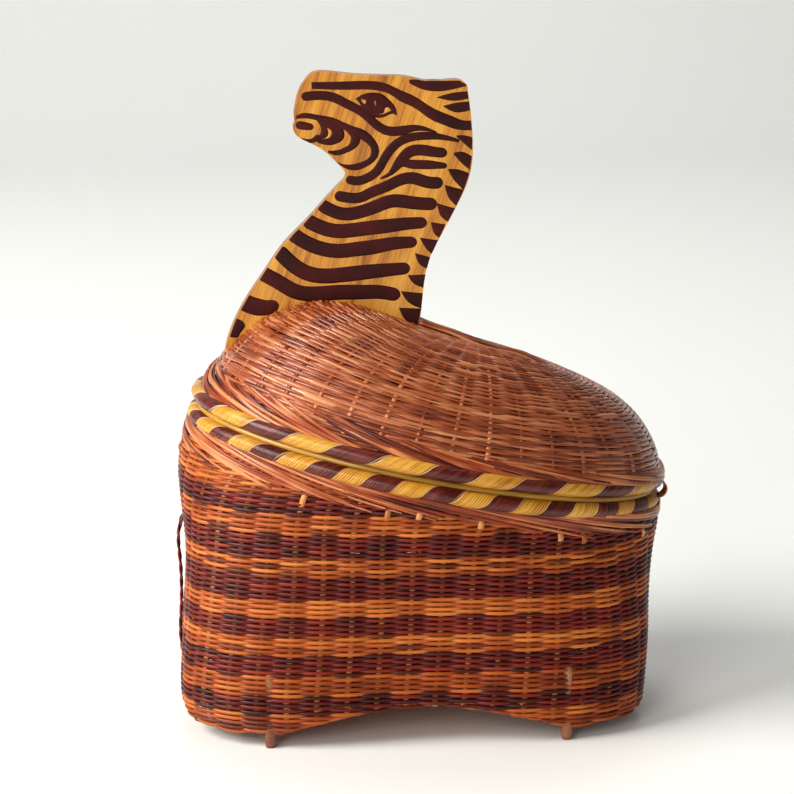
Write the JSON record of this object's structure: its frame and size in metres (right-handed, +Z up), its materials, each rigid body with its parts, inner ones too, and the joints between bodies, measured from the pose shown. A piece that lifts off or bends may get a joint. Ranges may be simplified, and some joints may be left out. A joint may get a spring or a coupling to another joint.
{
  "type": "rattan box",
  "caption": "Woven zebra-shaped storage box with striped walls, wrapped borders, a domed lid hinged by cane lashings and a painted flat wooden head board",
  "frame": {"origin": "on the ground under the middle of the box, at the bottom centre of its bounding box", "axes": "+Z up, the head looks towards -X, the hinge is at the +X end, +Y across the box"},
  "size_m": [0.2032, 0.1398, 0.262],
  "materials": {
    "tan_cane": "satin woven cane",
    "dyed_cane": "dark red-brown dyed cane, satin",
    "bamboo": "plain split bamboo",
    "olive_bamboo": "smooth olive-yellow bamboo",
    "straw_wrap": "flat straw wraps, yellow and maroon in turn, satin",
    "orange_cane": "flat orange-brown cane, satin",
    "lid_cane": "pinkish brown woven cane, satin",
    "painted_wood": "golden wood with dark maroon painted stripes, satin"
  },
  "bodies": {
    "basket": {"basket_wall": "tan_cane", "dyed_band_1": "dyed_cane", "dyed_band_2": "dyed_cane", "dyed_band_3": "dyed_cane", "dyed_band_4": "dyed_cane", "dyed_band_5": "dyed_cane", "basket_floor": "tan_cane", "foot_peg_front_left": "bamboo", "foot_peg_front_right": "bamboo", "foot_peg_back_left": "bamboo", "foot_peg_back_right": "bamboo", "mouth_hoop": "olive_bamboo", "basket_rim_core": "bamboo", "basket_rim_wrap": "straw_wrap", "basket_stake_border": "orange_cane", "tail_strap": "dyed_cane", "hinge_lashing_front": "orange_cane", "hinge_lashing_back": "orange_cane"},
    "lid": {"lid_shell": "lid_cane", "lid_hoop": "bamboo", "lid_rim_core": "bamboo", "lid_rim_wrap": "straw_wrap", "lid_stake_border": "lid_cane", "crest_spine": "lid_cane", "head_board": "painted_wood", "tang_pin_left": "bamboo", "tang_pin_right": "bamboo"}
  },
  "joints": [
    {"name": "lid_hinge", "type": "hinge", "parent": "basket", "child": "lid", "pos_m": [0.09531, 0, 0.09124], "axis": [0, 1, 0], "range_deg": [0, 105]}
  ]
}
